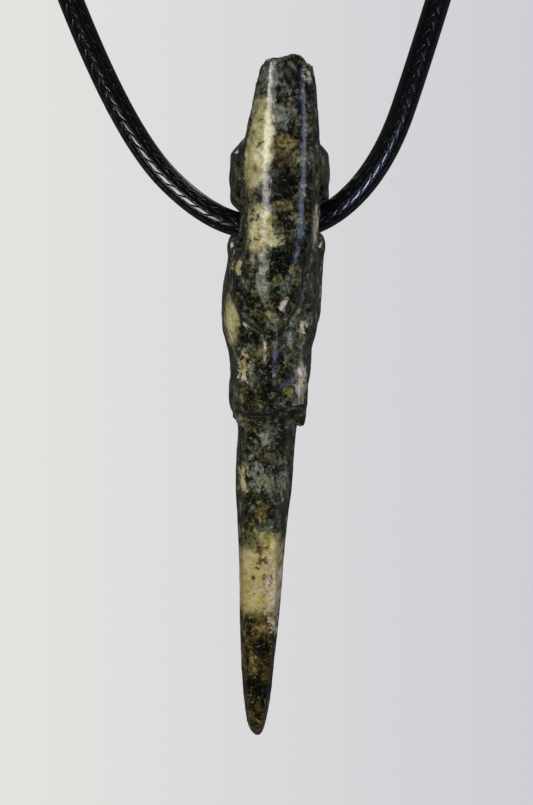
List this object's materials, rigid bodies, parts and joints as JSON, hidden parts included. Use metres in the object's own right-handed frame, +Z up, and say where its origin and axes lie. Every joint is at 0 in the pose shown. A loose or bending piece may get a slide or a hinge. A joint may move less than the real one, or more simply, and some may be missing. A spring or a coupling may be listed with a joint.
{
  "type": "stone gargoyle pendant",
  "caption": "Crouching winged gargoyle carved in mottled polished stone, ending in a long ridged spike, hung through its neck on a round black braided cord.",
  "frame": {"origin": "the nape point: the middle of the underside of the clasp, where the necklace hangs on a neck or peg", "axes": "+Z up, +Y the way the gargoyle's face looks, so its winged back faces -Y; +X across the cord hole"},
  "size_m": [0.1124, 0.0225, 0.2347],
  "materials": {
    "carved_stone": "polished, mottled dark green-grey with cream and rust patches",
    "braided_cord": "glossy black round braid",
    "clasp_steel": "fine brushed"
  },
  "bodies": {
    "necklace": {"cord": "braided_cord", "clasp": "clasp_steel"},
    "pendant": {"gargoyle": "carved_stone"}
  },
  "joints": [
    {"name": "pendant_swing", "type": "hinge", "parent": "necklace", "child": "pendant", "pos_m": [0, 0, -0.168], "axis": [1, 0, 0], "range_deg": [-45, 45]}
  ]
}
